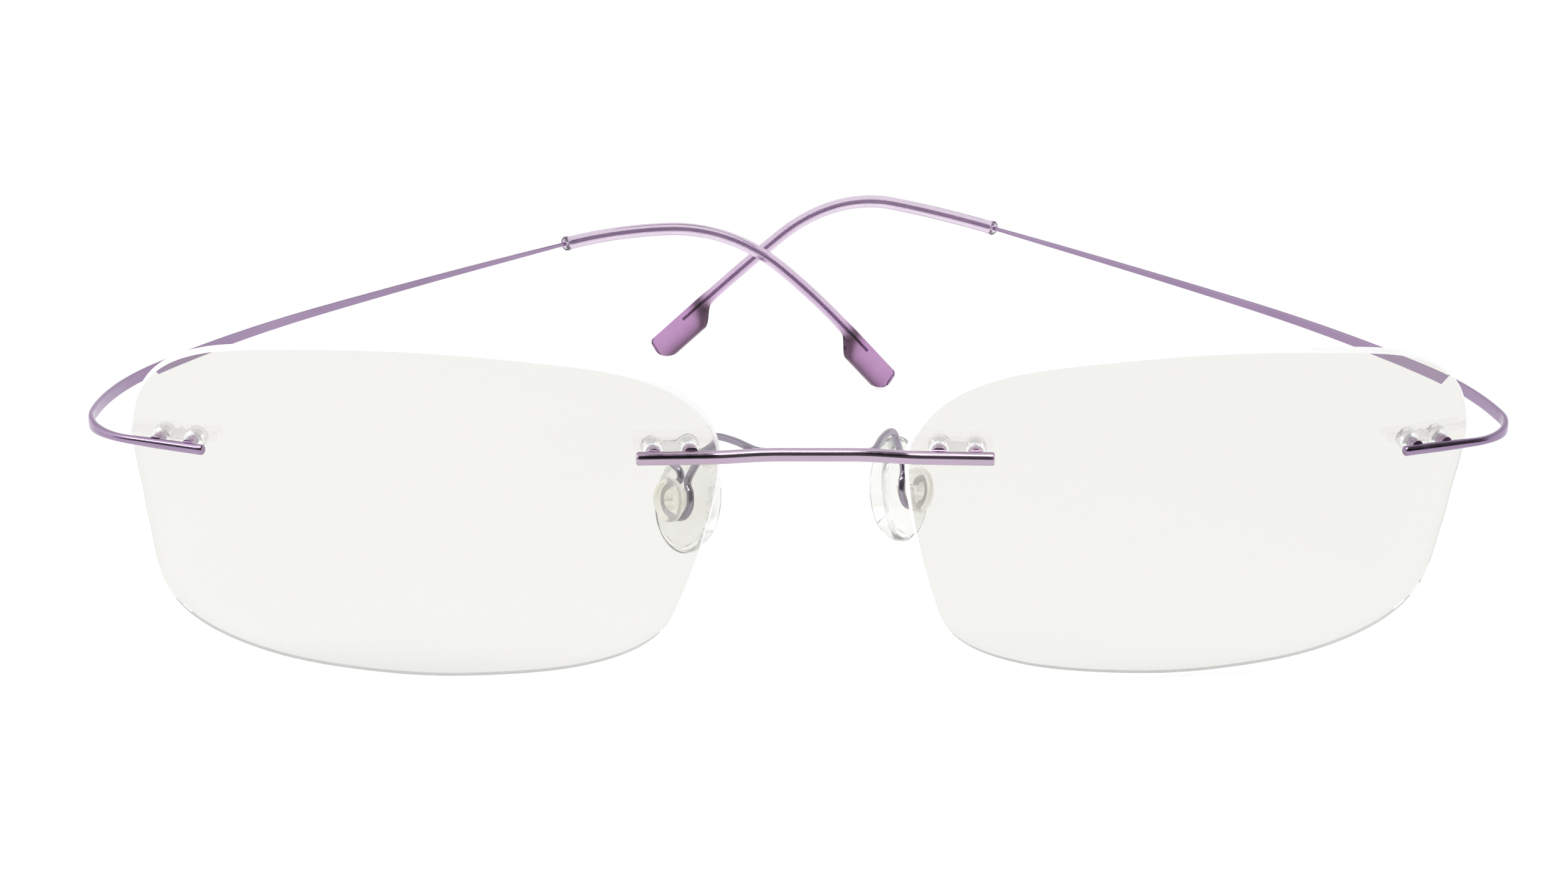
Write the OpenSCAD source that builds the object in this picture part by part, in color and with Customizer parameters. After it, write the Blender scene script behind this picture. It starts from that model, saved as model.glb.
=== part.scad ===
// Rimless eyeglasses on a hingeless spring-wire frame, lying as set down on a table.
// +X is the wearer's left, +Y runs back to the ears, +Z is up, all in millimetres.
// The origin is on the table, under the middle of the bounding box.
// "right" and "left" are the wearer's. Lists of two values are [right, left].

/* [Lenses] */
// Width of one lens
lens_w = 54; // [53:0.5:55]
// Even thickness of a lens
lens_t = 1.15; // [1.05:0.05:1.3]
// Radius of the front surface
lens_r = 100; // [95:1:110]
// Distance from the middle of the nose to a lens centre
lens_x = 35.9; // [35.7:0.1:36.2]
// Angle by which each lens wraps back at its outer side
lens_wrap = 7.5; // [7:0.1:8]
// Angle by which the tops of the lenses lean forward on the table
lens_tilt = 13.4; // [12:0.1:15]
// Height of the lens centres above the table
lens_z = 16.3; // [16:0.01:16.6]
// Distance of the lens centres from the origin, towards the back
front_y = -53.2; // [-56:0.1:-48]

/* [Lens holes and sleeves] */
// Diameter of each drilled hole
hole_d = 1.8; // [1.7:0.05:1.9]
// Diameter of the bore in a sleeve tube
sleeve_bore_d = 1.02; // [1.02:0.01:1.1]
// Thickness of the link plate behind the lens
sleeve_plate_t = 0.4; // [0.3:0.05:0.6]
// Diameter of the round ends of the link plate
sleeve_rim_d = 2.1; // [2:0.05:2.4]

/* [Bridge] */
// Diameter of the bridge bar
bar_d = 1.25; // [1.15:0.05:1.35]
// Height of the middle of the bar above the lens centres
bar_v = 8.5; // [8.3:0.05:8.7]
// Distance of the middle of the bar behind the lens centres
bar_y = -1.1; // [-1.3:0.05:-0.9]
// Distances of the two bar studs from the middle of the nose
bar_stud_x = [11.7, 14.9];
// Height of the bar studs above the lens centres
bar_stud_v = 8.35; // [8.2:0.05:8.5]

/* [Studs] */
// Diameter of a stud
stud_d = 1; // [0.9:0.01:1]
// Diameter of a bar stud's shoulder in front of the lens
bar_shoulder_d = 1.4; // [1.2:0.05:1.6]
// Diameter of a temple stud's shoulder in front of the lens
rod_shoulder_d = 1.1; // [1.05:0.05:1.3]
// Places of the temple studs on the lens: out from its centre, and up
temple_studs = [[20.8, 6.35], [23.9, 6.1]];

/* [Nose pads] */
// Width and height of a pad
pad_size = [7.8, 10.2];
// Thickness of a pad at its middle
pad_t = 2.6; // [2.2:0.1:2.8]
// Distance of a pad's middle below its button
pad_sink = 0.1; // [0:0.1:0.6]
// Sideways distance of each button from the middle of the nose
button_x = [12.1, 10.3];
// Height of each button from the lens centres
button_v = [-1.85, -0.8];
// Distance of the buttons behind the lens centres
button_y = 8.6; // [8.3:0.1:9]
// Direction that the back of a pad faces, outwards from straight ahead
pad_splay = 56; // [52:1:60]
// Angle by which the lower ends of the pads lean apart
pad_lean = 16; // [13:1:19]
// Diameter of the clear button in the back of a pad
button_d = 4.2; // [3.9:0.1:4.5]
// Diameter of the button's neck
neck_d = 2; // [1.8:0.05:2.05]
// Diameter of the pad arm wire
arm_wire_d = 0.66; // [0.6:0.02:0.84]
// Sideways distance of the top of each pad arm from the middle of the nose
arm_top_x = [8.9, 7.5];
// Height of the top of each pad arm above the lens centres
arm_top_v = [6.85, 7.4];

/* [Temple wires] */
// Diameter of the rod in front of each lens
rod_d = 0.95; // [0.9:0.05:1]
// Diameter of the wire where it enters the outer bend
bend_d = 0.8; // [0.7:0.05:0.85]
// Thickness of the flat part of the wire
ribbon_t = 0.45; // [0.4:0.01:0.5]
// Height of the flat part at the outer bend
ribbon_h = 1.24; // [1.1:0.02:1.3]
// Diameter of the wire inside the ear tip
core_d = 0.42; // [0.4:0.01:0.5]
// Inner end of each rod, in the frame of the lenses
rod_start = [55.1, 3.15, 6.44];
// Rise of each temple towards the back
temple_rise = [1.9, 3.1];
// Direction of each rod, back from straight outwards
rod_heading = [23.5, 19];
// Lengths of the rod, the outer bend and three bowed stretches of the flat part, right temple
right_len = [7.4, 8.8, 15, 25, 36.2];
// Inward turns of those five stretches, right temple
right_turns = [0, 69.8, 27, 12, 3.7];
// Lengths of the same five stretches, left temple
left_len = [7.5, 9, 15, 25, 36];
// Inward turns of those five stretches, left temple
left_turns = [0, 76, 22.5, 11, 3];

/* [Ear tips] */
// Diameter of the sleeve
tip_d = 1.45; // [1.3:0.05:1.6]
// Lengths of the sleeve before the ear bend, in it, and from it to the paddle
tip_len = [16, 20, 13.7];
// Inward turns of those three stretches, right ear tip
right_tip_turns = [2.5, 3.2, 3.2];
// Inward turns of those three stretches, left ear tip
left_tip_turns = [-5, 11, 6];
// Downward bends of those three stretches, right ear tip
right_tip_drops = [8.5, 30, 7];
// Downward bends of those three stretches, left ear tip
left_tip_drops = [5.5, 37, 4];
// Length of the flat paddle
paddle_len = 10.4; // [9.5:0.1:11]
// Height of the paddle
paddle_h = 3.3; // [3:0.1:3.6]
// Thickness of the paddle
paddle_t = 1.2; // [1:0.1:1.4]

/* [Hidden] */

right = 0;
left = 1;

// Facets round a wire
wire_fn = 32;

metal = [0.70, 0.61, 0.73];
clear = [0.93, 0.94, 0.93, 0.5];
violet = [0.66, 0.50, 0.72, 0.8];

// Points on the edge of a 54 mm lens, seen from the front, with the outer side at +u
lens_edge = [
    [26.1, 0], [26.8, 6.7], [24.9, 11.9], [19.5, 15.2], [9.5, 16.9], [0, 17.5],
    [-9.5, 17.1], [-17.8, 15.9], [-23.4, 13.4], [-26.6, 9.2], [-26.8, 3.5],
    [-24.4, -6.5], [-21.6, -12.2], [-15.2, -15.3], [-4.5, -16.8], [4.5, -17.1],
    [14, -16.4], [21, -14.1], [24.5, -10.2], [25.7, -3.4]
];
edge_steps = 5;

// Running gap between a sleeve and its hole, and between a core and its sleeve
fit_gap = 0.01;
// How far a stud stands out behind its sleeve
stud_tail = 0.2;
// Gap between the lens and the shoulder of a stud
shoulder_gap = 0.2;

// Half of the bar, outwards from its middle, as pieces of wire
bar_pieces = [[3, 0, 0], [3, 0, 4], [1.7, 0, 0], [2, -6, -6.5], [6.5, 0, 0]];

// Distance from the middle of a wire loop to the pad, and to the button's disc
pad_gap = 0.5;
disc_t = 0.6;
neck_depth = 1;

// Gap round the rounded end of a temple at its flex axis
flex_gap = 0.1;

// How far the core runs into the paddle
paddle_core = 4.6;
// Rounded mouth of an ear tip
bead_len = 0.7;
bead_d = tip_d + 0.16;

// ---- Smooth curves ----

// The point at t between b and c on the curve through a, b, c and d
function between(a, b, c, d, t) =
    0.5 * (2 * b + (c - a) * t + (2 * a - 5 * b + 4 * c - d) * pow(t, 2)
    + (3 * b - a - 3 * c + d) * pow(t, 3));

// A closed curve through the points of p, with n steps from each to the next
function closed_curve(p, n) = [
    for (i = [0 : len(p) - 1], k = [0 : n - 1])
        between(p[(i + len(p) - 1) % len(p)], p[i],
            p[(i + 1) % len(p)], p[(i + 2) % len(p)], k / n)
];

// An open curve through the points of p, with n steps from each to the next
function open_curve(p, n) = concat(
    [for (i = [0 : len(p) - 2], k = [0 : n - 1])
        between(p[max(i - 1, 0)], p[i], p[i + 1], p[min(i + 2, len(p) - 1)], k / n)],
    [p[len(p) - 1]]);

function unit(v) = v / norm(v);

// The direction of a list of points at point i
function heading(p, i) = unit(p[min(i + 1, len(p) - 1)] - p[max(i - 1, 0)]);

// Side directions of a tube at each point, carried along without twist
function side_dirs(p, i, last) =
    i == len(p) ? [] :
    let(t = heading(p, i), s = unit(last - (last * t) * t))
    concat([s], side_dirs(p, i + 1, s));

// A round tube of radius r along the points of p, with n sides
module tube(p, r, n) {
    dirs = side_dirs(p, 0, unit(cross(heading(p, 0), [0.3, 0.2, 1])));
    points = [
        for (i = [0 : len(p) - 1], k = [0 : n - 1])
            let(t = heading(p, i), a = 360 * k / n)
            p[i] + r * (cos(a) * dirs[i] + sin(a) * cross(t, dirs[i]))
    ];
    sides = [
        for (i = [0 : len(p) - 2], k = [0 : n - 1])
            let(m = (k + 1) % n)
            [i * n + k, (i + 1) * n + k, (i + 1) * n + m, i * n + m]
    ];
    first = [for (k = [0 : n - 1]) k];
    last = [for (k = [0 : n - 1]) len(p) * n - 1 - k];
    polyhedron(points, concat([first], sides, [last]));
}

// ---- Bent wire: a piece is [length, turn towards +Y, drop towards -Z], starting along +X ----

function bend_angle(piece) = norm([piece[1], piece[2]]);
function bend_roll(piece) = bend_angle(piece) == 0 ? 0 : atan2(-piece[2], piece[1]);
function bend_radius(piece) = piece[0] / (bend_angle(piece) * PI / 180);
function bend_fn(piece) = ceil(360 / bend_angle(piece) * max(6, bend_angle(piece) / 3));

// Places its children at the end of a list of pieces
module after(pieces, i = 0) {
    if (i == len(pieces)) children();
    else after_piece(pieces[i]) after(pieces, i + 1) children();
}

module after_piece(piece) {
    a = bend_angle(piece);
    if (a == 0) translate([piece[0], 0, 0]) children();
    else rotate([bend_roll(piece), 0, 0])
        translate([bend_radius(piece) * sin(a), bend_radius(piece) * (1 - cos(a)), 0])
            rotate([0, 0, a])
                rotate([-bend_roll(piece), 0, 0])
                    children();
}

// Sweeps a flat section, with its x across the wire away from the turn, along one piece
module sweep_piece(piece) {
    a = bend_angle(piece);
    if (a == 0) rotate([90, 0, 90]) linear_extrude(piece[0]) children();
    else rotate([bend_roll(piece), 0, 0])
        translate([0, bend_radius(piece), 0])
            rotate([0, 0, -90])
                rotate_extrude(angle = a, $fn = bend_fn(piece))
                    translate([bend_radius(piece), 0])
                        children();
}

// Sweeps a section along all of a list of pieces, with a hair-thin collar over each joint
module sweep(pieces) {
    for (k = [0 : len(pieces) - 1])
        after([for (i = [0 : 1 : k - 1]) pieces[i]]) {
            sweep_piece(pieces[k]) children();
            if (k > 0) collar() children();
        }
}

// A short length of slightly larger wire, which joins the pieces that meet inside it
module collar() {
    translate([-0.1, 0, 0]) rotate([90, 0, 90]) linear_extrude(0.2) scale(1.015) children();
}

// ---- Places ----

// The frame of the two lenses: x across the face, y back, z up along the lenses
module front() {
    translate([0, front_y, lens_z]) rotate([lens_tilt, 0, 0]) children();
}

// Built for the left side, and mirrored for the right
module on_side(side) {
    if (side == left) children();
    else mirror([1, 0, 0]) children();
}

// The frame of one lens, with the middle of its front surface at the origin
module lens_place(side) {
    front() on_side(side)
        translate([lens_x, 0, 0])
            rotate([0, 0, lens_wrap])
                children();
}

// A place on the front surface of a lens, with +Y straight in through it
module on_surface(place) {
    translate([0, lens_r, 0])
        rotate([-asin(place[1] / lens_r), 0, asin(place[0] / lens_r)])
            translate([0, -lens_r, 0])
                children();
}

bridge_studs_at = [for (x = bar_stud_x) [(x - lens_x) / cos(lens_wrap), bar_stud_v]];

// The frame of one temple wire, with +X along its rod
module temple_place(side) {
    on_side(side)
        translate([
            rod_start[0],
            front_y + rod_start[1] * cos(lens_tilt) - rod_start[2] * sin(lens_tilt),
            lens_z + rod_start[1] * sin(lens_tilt) + rod_start[2] * cos(lens_tilt)
        ])
            rotate([temple_rise[side], 0, 0])
                rotate([0, 0, rod_heading[side]])
                    children();
}

// The frame of one nose pad: the button's neck runs along +Y through the origin
module pad_place(side) {
    front() on_side(side)
        translate([button_x[side], button_y, button_v[side]])
            rotate([0, 0, pad_splay])
                rotate([-pad_lean, 0, 0])
                    children();
}

// A round bar along +Y
module along_y(d, from, to) {
    translate([0, from, 0]) rotate([-90, 0, 0]) cylinder(d = d, h = to - from, $fn = wire_fn);
}

// ---- Lenses ----

module lens(side) {
    edge = closed_curve(lens_edge * lens_w / 54, edge_steps);
    color(clear) lens_place(side) difference() {
        intersection() {
            translate([0, 12, 0]) rotate([90, 0, 0]) linear_extrude(16) polygon(edge);
            translate([0, lens_r, 0]) difference() {
                sphere(lens_r, $fn = 240);
                sphere(lens_r - lens_t, $fn = 240);
            }
        }
        for (place = concat(bridge_studs_at, temple_studs))
            on_surface(place) along_y(hole_d, -2, lens_t + 2);
    }
}

// ---- Clear double sleeves: two tubes through the lens on one link plate behind it ----
// A stub of the moulding gate may stand on the link plate

plate_front = lens_t + 0.05;
plate_back = plate_front + sleeve_plate_t;

module sleeve(side, places, gate = false) {
    middle = (places[0] + places[1]) / 2;
    pitch = norm(places[1] - places[0]);
    color(clear) lens_place(side) difference() {
        union() {
            for (place = places) on_surface(place) {
                along_y(hole_d - 2 * fit_gap, -0.15, plate_back);
                along_y(sleeve_rim_d, plate_front, plate_back);
            }
            on_surface(middle) {
                translate([-pitch / 2, plate_front + 0.03, -0.5])
                    cube([pitch, sleeve_plate_t - 0.06, 1]);
                if (gate) translate([-0.3, plate_front + 0.03, 0])
                    cube([0.6, sleeve_plate_t - 0.06, 0.75]);
            }
        }
        for (place = places) on_surface(place) along_y(sleeve_bore_d, -1, plate_back + 1);
    }
}

// ---- Studs, each saddled on its rod or bar ----

module studs(side, places, shoulder, reach) {
    lens_place(side)
        for (place = places) on_surface(place) {
            along_y(stud_d, -reach, plate_back + stud_tail);
            along_y(shoulder, -reach, -shoulder_gap);
        }
}

module bridge_studs(side) {
    color(metal) difference() {
        studs(side, bridge_studs_at, bar_shoulder_d, 1.15);
        front() on_side(side) half_bar();
    }
}

module end_studs(side) {
    color(metal) difference() {
        studs(side, temple_studs, rod_shoulder_d, 1);
        temple_place(side) sweep([wire_pieces(side)[0]]) circle(d = rod_d, $fn = wire_fn);
    }
}

// ---- Bridge bar ----

module half_bar() {
    translate([0, bar_y, bar_v]) sweep(bar_pieces) circle(d = bar_d, $fn = wire_fn);
}

module bridge_bar() {
    color(metal) front() {
        half_bar();
        mirror([1, 0, 0]) half_bar();
        translate([0, bar_y, bar_v]) collar() circle(d = bar_d, $fn = wire_fn);
    }
}

// ---- Pad arms ----

// Turns a point of the pad's frame into the frame of the lenses
function from_pad(side, p) =
    let(y = p[1] * cos(pad_lean) + p[2] * sin(pad_lean),
        z = p[2] * cos(pad_lean) - p[1] * sin(pad_lean))
    [button_x[side] + p[0] * cos(pad_splay) - y * sin(pad_splay),
        button_y + p[0] * sin(pad_splay) + y * cos(pad_splay),
        button_v[side] + z];

// The hook round the neck, from the long leg to the free end: across, and up
hook = [
    [-0.95, 2.55], [-1.7, 1.4], [-2.1, 0.3], [-1.75, -0.85], [-0.75, -1.5], [0.45, -1.55],
    [1.35, -0.8], [1.55, 0.2], [1.1, 1.1], [0.4, 1.6], [0.1, 2.15], [0.55, 2.7],
    [1.4, 2.85], [2.3, 2.9]
];

module pad_arm(side) {
    x = arm_top_x[side];
    back_of_bar = bar_y + bar_d / 2 + 0.25;
    v = arm_top_v[side];
    path = concat(
        [[4.3, back_of_bar, bar_v - 0.2], [5.4, back_of_bar + 0.15, bar_v - 0.1],
            [2.3 + 0.55 * x, 2.7, 4 + 0.55 * v], [x, 5, v], [x + 0.7, 6, v - 1.7]],
        [for (p = hook) from_pad(side, [p[0], 0, p[1]])]);
    color(metal) front() on_side(side) tube(open_curve(path, 4), arm_wire_d / 2, 10);
}

// ---- Nose pads ----

module pad_button(side) {
    color(clear) pad_place(side) {
        along_y(button_d, -pad_gap - disc_t, -pad_gap);
        along_y(neck_d, -pad_gap - disc_t / 2, pad_gap + neck_depth);
    }
}

module nose_pad(side) {
    back_r = 30;
    face_r = 18;
    oval = [for (a = [0 : 7.5 : 352.5]) [pad_size[0] / 2 * cos(a), pad_size[1] / 2 * sin(a)]];
    color(clear) pad_place(side) difference() {
        translate([0, 0, -pad_sink]) intersection() {
            translate([0, pad_gap + pad_t, 0]) rotate([90, 0, 0]) linear_extrude(pad_t)
                polygon(oval);
            translate([0, pad_gap + back_r, 0]) sphere(back_r, $fn = 200);
            translate([0, pad_gap + pad_t - face_r, 0]) sphere(face_r, $fn = 200);
        }
        along_y(neck_d + 2 * fit_gap, 0, pad_gap + neck_depth + 0.05);
    }
}

// ---- Temple wires ----

// The wire from the rod to the mouth of the ear tip
function wire_pieces(side) =
    let(lengths = side == right ? right_len : left_len,
        turns = side == right ? right_turns : left_turns)
    [for (i = [0 : len(lengths) - 1]) [lengths[i], turns[i], 0]];

// The wire inside the ear tip, up to the paddle
function tip_pieces(side) =
    let(turns = side == right ? right_tip_turns : left_tip_turns,
        drops = side == right ? right_tip_drops : left_tip_drops)
    [for (i = [0 : len(tip_len) - 1]) [tip_len[i], turns[i], drops[i]]];

function first_of(list, n) = [for (i = [0 : n - 1]) list[i]];
function rest_of(list, n) = [for (i = [n : len(list) - 1]) list[i]];

// How far back from the rod's start the wire has come after its first n pieces
function reach_back(side, pieces, n, i = 0, heading = 0) =
    i == n ? 0 :
    let(a = pieces[i][1], chord = a == 0 ? pieces[i][0] : 2 * bend_radius(pieces[i]) * sin(a / 2))
    chord * sin(rod_heading[side] + heading + a / 2)
    + reach_back(side, pieces, n, i + 1, heading + a);

module ribbon_section(h) {
    translate([-ribbon_t / 2, -h / 2]) square([ribbon_t, h]);
}

// Half-way between the round wire and the flat part
module pressed_section() {
    intersection() {
        circle(d = (bend_d + ribbon_h) / 2, $fn = wire_fn);
        square([(bend_d + ribbon_t) / 2, 2 * ribbon_h], center = true);
    }
}

// The rod and the outer bend, which stay with the lens: round, pressed and flat by thirds
module endpiece(side) {
    pieces = wire_pieces(side);
    third = pieces[1] / 3;
    color(metal) temple_place(side) difference() {
        union() {
            sweep([pieces[0]]) circle(d = rod_d, $fn = wire_fn);
            after([pieces[0]]) {
                collar() circle(d = bend_d, $fn = wire_fn);
                sweep([third]) circle(d = bend_d, $fn = wire_fn);
            }
            after([pieces[0], third]) {
                collar() pressed_section();
                sweep([third]) pressed_section();
            }
            after([pieces[0], third, third]) {
                collar() pressed_section();
                sweep([third]) ribbon_section(ribbon_h);
            }
        }
        after([pieces[0], pieces[1]])
            cylinder(r = ribbon_t / 2 + flex_gap, h = 2 * ribbon_h, center = true, $fn = wire_fn);
    }
}

// The flat springy part, tapering to the core that runs on inside the ear tip
module temple(side) {
    pieces = wire_pieces(side);
    y0 = reach_back(side, pieces, 2);
    y1 = reach_back(side, pieces, len(pieces));
    color(metal) temple_place(side) {
        intersection() {
            after(first_of(pieces, 2)) {
                sweep(rest_of(pieces, 2)) ribbon_section(ribbon_h);
                cylinder(d = ribbon_t, h = ribbon_h, center = true, $fn = wire_fn);
            }
            rotate([0, 0, -rod_heading[side]]) rotate([90, 0, 90])
                linear_extrude(300, center = true)
                    polygon([
                        [y0 - 2, -ribbon_h / 2], [y0 + 2, -ribbon_h / 2], [y1 + 1, -core_d / 2],
                        [y1 + 1, core_d / 2], [y0 + 2, ribbon_h / 2], [y0 - 2, ribbon_h / 2]
                    ]);
        }
        after(pieces) {
            collar() circle(d = core_d, $fn = wire_fn);
            sweep(concat(tip_pieces(side), [[paddle_core, 0, 0]])) circle(d = core_d, $fn = wire_fn);
        }
    }
}

// ---- Ear tips ----

module ring(outer, inner) {
    difference() {
        circle(d = outer, $fn = wire_fn);
        circle(d = inner, $fn = wire_fn);
    }
}

module ear_tip(side) {
    top = tip_d / 2;
    low = top - paddle_h;
    outline = [
        [0, -top], [0, top], [paddle_len - 0.9, top], [paddle_len - 0.25, top - 0.3],
        [paddle_len, top - 0.9], [paddle_len - 0.8, low + 0.4], [paddle_len - 1.5, low],
        [3.6, low], [2.4, low + 0.5], [0.9, -top - 0.6]
    ];
    color(violet) temple_place(side) after(wire_pieces(side)) {
        translate([-0.05, 0, 0]) sweep([[bead_len, 0, 0]]) ring(bead_d, (core_d + tip_d) / 2);
        sweep(tip_pieces(side)) ring(tip_d, core_d + 2 * fit_gap);
        after(tip_pieces(side)) difference() {
            union() {
                collar() circle(d = tip_d, $fn = wire_fn);
                sweep([[paddle_core + 0.8, 0, 0]]) circle(d = tip_d, $fn = wire_fn);
                translate([0, paddle_t / 2, 0]) rotate([90, 0, 0])
                    linear_extrude(paddle_t) polygon(outline);
            }
            translate([-1, 0, 0])
                sweep([[paddle_core + 1.05, 0, 0]])
                    circle(d = core_d + 4 * fit_gap, $fn = wire_fn);
        }
    }
}

// ---- Parts ----

bridge_bar();
lens(right);  // right_lens
lens(left);  // left_lens
bridge_studs(right);  // right_bridge_studs
bridge_studs(left);  // left_bridge_studs
end_studs(right);  // right_temple_studs
end_studs(left);  // left_temple_studs
sleeve(right, bridge_studs_at);  // right_nasal_sleeve
sleeve(left, bridge_studs_at);  // left_nasal_sleeve
sleeve(right, temple_studs, gate = true);  // right_outer_sleeve
sleeve(left, temple_studs, gate = true);  // left_outer_sleeve
pad_arm(right);  // right_pad_arm
pad_arm(left);  // left_pad_arm
pad_button(right);  // right_pad_button
pad_button(left);  // left_pad_button
nose_pad(right);  // right_nose_pad
nose_pad(left);  // left_nose_pad
endpiece(right);  // right_endpiece
endpiece(left);  // left_endpiece
temple(right);  // right_temple
temple(left);  // left_temple
ear_tip(right);  // right_ear_tip
ear_tip(left);  // left_ear_tip
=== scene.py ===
"""Looks of the rimless eyeglasses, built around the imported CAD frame.

Lengths are in millimetres until mesh_piece(), except in the stage, and sides are the wearer's.
"""

import math

import bmesh
import bpy
import numpy as np
from mathutils import Matrix, Vector


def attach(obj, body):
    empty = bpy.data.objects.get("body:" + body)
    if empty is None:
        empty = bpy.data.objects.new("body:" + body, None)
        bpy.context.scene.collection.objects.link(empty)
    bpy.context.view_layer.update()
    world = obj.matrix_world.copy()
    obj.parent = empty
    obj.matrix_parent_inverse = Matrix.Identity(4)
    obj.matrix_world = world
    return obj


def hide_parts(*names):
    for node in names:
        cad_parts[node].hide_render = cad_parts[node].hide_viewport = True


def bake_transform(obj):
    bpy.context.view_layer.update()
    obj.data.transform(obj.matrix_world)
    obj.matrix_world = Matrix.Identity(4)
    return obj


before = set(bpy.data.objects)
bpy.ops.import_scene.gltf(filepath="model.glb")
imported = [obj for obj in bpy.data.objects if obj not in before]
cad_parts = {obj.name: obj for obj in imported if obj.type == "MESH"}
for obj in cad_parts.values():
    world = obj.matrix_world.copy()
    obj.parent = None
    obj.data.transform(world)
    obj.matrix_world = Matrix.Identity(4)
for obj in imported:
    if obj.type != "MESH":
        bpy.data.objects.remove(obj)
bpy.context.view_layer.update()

SIDES = {"right": -1, "left": 1}
INDEX = {"right": 0, "left": 1}

# The same sizes as the CAD source
LENS_R, LENS_T, LENS_X, LENS_WRAP = 100, 1.15, 35.9, 7.5
LENS_TILT, LENS_Z, FRONT_Y = 13.4, 16.3, -53.2
LENS_EDGE = [
    (26.1, 0), (26.8, 6.7), (24.9, 11.9), (19.5, 15.2), (9.5, 16.9), (0, 17.5),
    (-9.5, 17.1), (-17.8, 15.9), (-23.4, 13.4), (-26.6, 9.2), (-26.8, 3.5),
    (-24.4, -6.5), (-21.6, -12.2), (-15.2, -15.3), (-4.5, -16.8), (4.5, -17.1),
    (14, -16.4), (21, -14.1), (24.5, -10.2), (25.7, -3.4),
]
HOLE_D, SLEEVE_BORE_D, SLEEVE_RIM_D = 1.8, 1.02, 2.1
PLATE_FRONT, PLATE_BACK = 1.2, 1.6
BAR_D, BAR_V, BAR_Y = 1.25, 8.5, -1.1
BAR_PIECES = [(3, 0, 0), (3, 0, 4), (1.7, 0, 0), (2, -6, -6.5), (6.5, 0, 0)]
BAR_STUD_X, BAR_STUD_V = (11.7, 14.9), 8.35
TEMPLE_STUDS = [(20.8, 6.35), (23.9, 6.1)]
STUD_D, BAR_SHOULDER_D, ROD_SHOULDER_D = 1, 1.4, 1.1
PAD_SIZE, PAD_T, PAD_SINK, PAD_GAP = (7.8, 10.2), 2.6, 0.1, 0.5
BUTTON_X, BUTTON_V, BUTTON_Y = (12.1, 10.3), (-1.85, -0.8), 8.6
PAD_SPLAY, PAD_LEAN, BUTTON_D, NECK_D, DISC_T = 56, 16, 4.2, 2, 0.6
ARM_WIRE_D, ARM_TOP_X, ARM_TOP_V = 0.66, (8.9, 7.5), (6.85, 7.4)
HOOK = [
    (-0.95, 2.55), (-1.7, 1.4), (-2.1, 0.3), (-1.75, -0.85), (-0.75, -1.5), (0.45, -1.55),
    (1.35, -0.8), (1.55, 0.2), (1.1, 1.1), (0.4, 1.6), (0.1, 2.15), (0.55, 2.7),
    (1.4, 2.85), (2.3, 2.9),
]
ROD_START, RISE, HEADING = (55.1, 3.15, 6.44), (1.9, 3.1), (23.5, 19)
ROD_D, BEND_D, RIBBON_T, RIBBON_H, CORE_D = 0.95, 0.8, 0.45, 1.24, 0.42
WIRE_LEN = ((7.4, 8.8, 15, 25, 36.2), (7.5, 9, 15, 25, 36))
WIRE_TURNS = ((0, 69.8, 27, 12, 3.7), (0, 76, 22.5, 11, 3))
TIP_LEN = (16, 20, 13.7)
TIP_TURNS = ((2.5, 3.2, 3.2), (-5, 11, 6))
TIP_DROPS = ((8.5, 30, 7), (5.5, 37, 4))
TIP_D, PADDLE_LEN, PADDLE_H, PADDLE_T, PADDLE_CORE = 1.45, 10.4, 3.3, 1.2, 4.6

# Sizes that only the visual pieces have
SHARP = 35
LENS_BEVEL, LENS_REACH, HOLE_RIM, EDGE_SLANT = 0.14, 24, 1.2, 0.8
LENS_RINGS = (0.02, 0.12, 0.24, 0.36, 0.48, 0.6, 0.7, 0.8, 0.88, 0.95)
BAR_POST_REACH, ROD_POST_REACH, POST_BACK = 1.15, 1.1, 0.2
PLATE_WAIST, PLATE_BLEND = 0.5, 7
INNER_GATE_H, OUTER_GATE_H, GATE_W = 0.3, 0.72, 0.38
PLATE_LAYERS = [(0.1, 0.0), (0.03, 0.03), (0, 0.1), (0, 0.3), (0.03, 0.37), (0.1, 0.4)]
FIT_GAP, CORE_GAP = 0.01, 0.012

# Distances along a temple wire: where the rod thins, is pressed flat and tapers; make_temple()
# works out the ends of BLEND_SPAN but does not use them
THIN_SPAN, FLAT_SPAN, TAPER_START, ROUND_RUN = (4, 8.5), (9, 16), 18, 10
BLEND_SPAN = (13.5, 20)
END_LEN, END_TRIM = 0.13, 0.09
FLAT_POWER = 5

# Distances from the start of a paddle: where the tube is pressed flat, and where it deepens
PADDLE_FLAT, PADDLE_DROP = (-1.5, 2.6), (0.2, 2.9)
# Painted shade: the near-black colour laid on the paddle's lower edge and shoulder, where the
# translucent plastic looks dark
PADDLE_EDGE_SHADE = (0.06, 0.03, 0.05, 1)

# The stage, in metres. The camera's place and directions are in the lens frame, in millimetres
FLOOR_HALF, FLOOR_Z, FLOOR_GREY, FLOOR_GLOW = 6, -2e-5, 0.25, 0.86
STUDIO_LEVEL = 1.1
SOFTBOX_SIZE, SOFTBOX_ENERGY = (0.8, 0.14), 2.5
SOFTBOX_PLACE, SOFTBOX_TIP = (-0.32, -0.25, 0.64), -18
CAMERA_LENS, CAMERA_SENSOR, CAMERA_NEAR = 78.65, 36, 0.01
CAMERA_PLACE = (-24.93, -266.2, 164.6)
CAMERA_RIGHT, CAMERA_UP = (0.9974, -0.0613, 0.0370), (-0.0011, 0.5041, 0.8636)

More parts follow.
